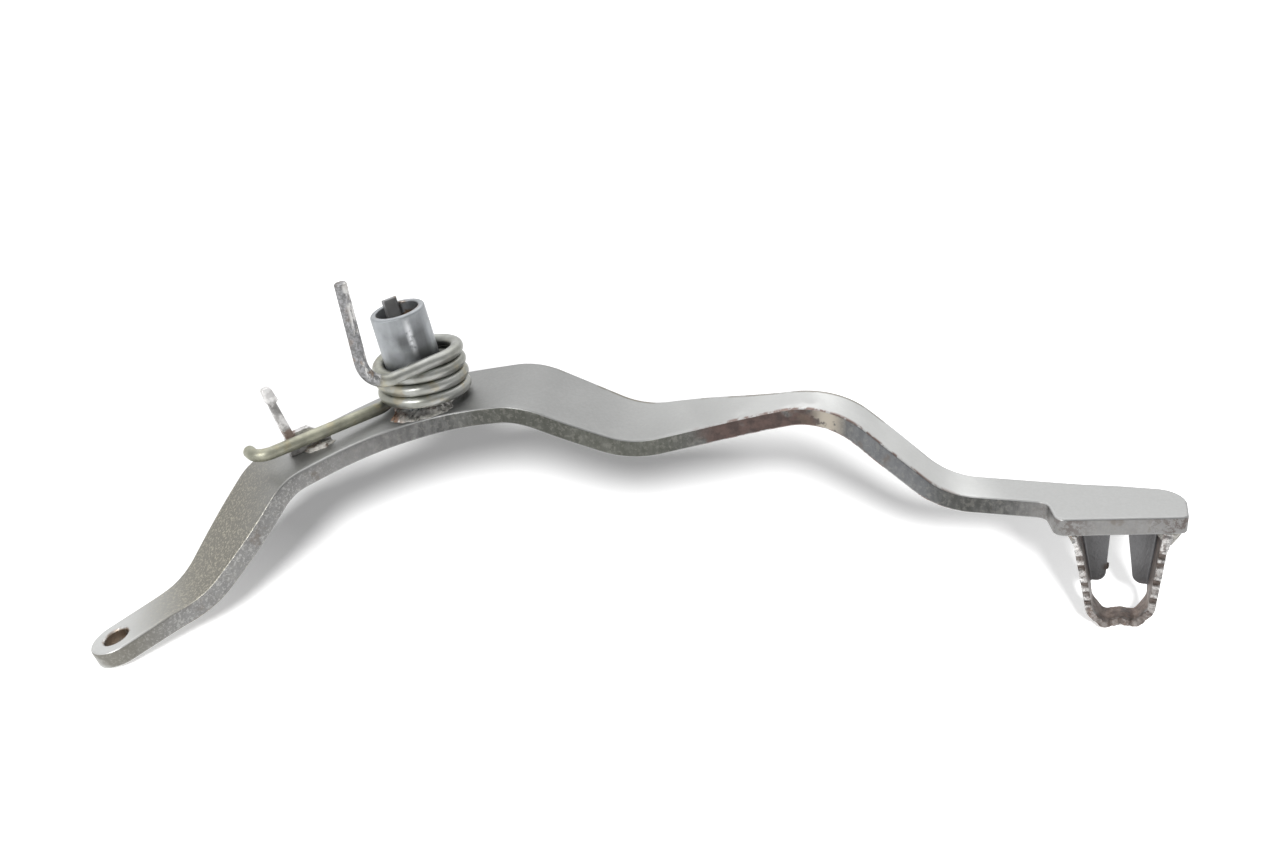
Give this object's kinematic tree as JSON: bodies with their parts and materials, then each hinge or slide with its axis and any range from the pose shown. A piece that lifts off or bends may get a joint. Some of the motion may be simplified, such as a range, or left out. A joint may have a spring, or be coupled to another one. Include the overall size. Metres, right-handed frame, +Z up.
{
  "type": "motorbike brake pedal",
  "caption": "Bent flat-bar rear brake pedal with a pivot tube on its bush, torsion return spring, switch-spring hook and toothed foot pad.",
  "frame": {"origin": "on the pivot's axis, in the plane of the seat that the tube stands on", "axes": "+X towards the foot pad, +Y to the far side that the pad is pressed to, +Z up, as the pedal lies on a bench; the pivot's axis leans 13.6 degrees from +Z towards -X"},
  "size_m": [0.3401, 0.1105, 0.1151],
  "materials": {
    "plated_bar": "satin zinc plate, worn",
    "tube_steel": "turned, satin",
    "bush_steel": "dark, satin",
    "spring_wire": "zinc plate, worn bright in places",
    "sheet_steel": "worn sheet, bare at its edges",
    "weld_metal": "rough beads"
  },
  "bodies": {
    "bush": {"pivot_bush": "bush_steel"},
    "pedal": {"pedal_arm": "plated_bar", "pivot_tube": "tube_steel", "return_spring": "spring_wire", "switch_hook": "sheet_steel", "foot_pad": "sheet_steel", "tube_weld": "weld_metal", "hook_weld": "weld_metal", "pad_weld_left": "weld_metal", "pad_weld_right": "weld_metal"}
  },
  "joints": [
    {"name": "pedal_pivot", "type": "hinge", "parent": "bush", "child": "pedal", "pos_m": [0, 0, 0], "axis": [-0.2351, 0, 0.972], "range_deg": [0, 18], "stiffness_Nm_per_rad": 9.4, "deforming": ["return_spring"]}
  ]
}
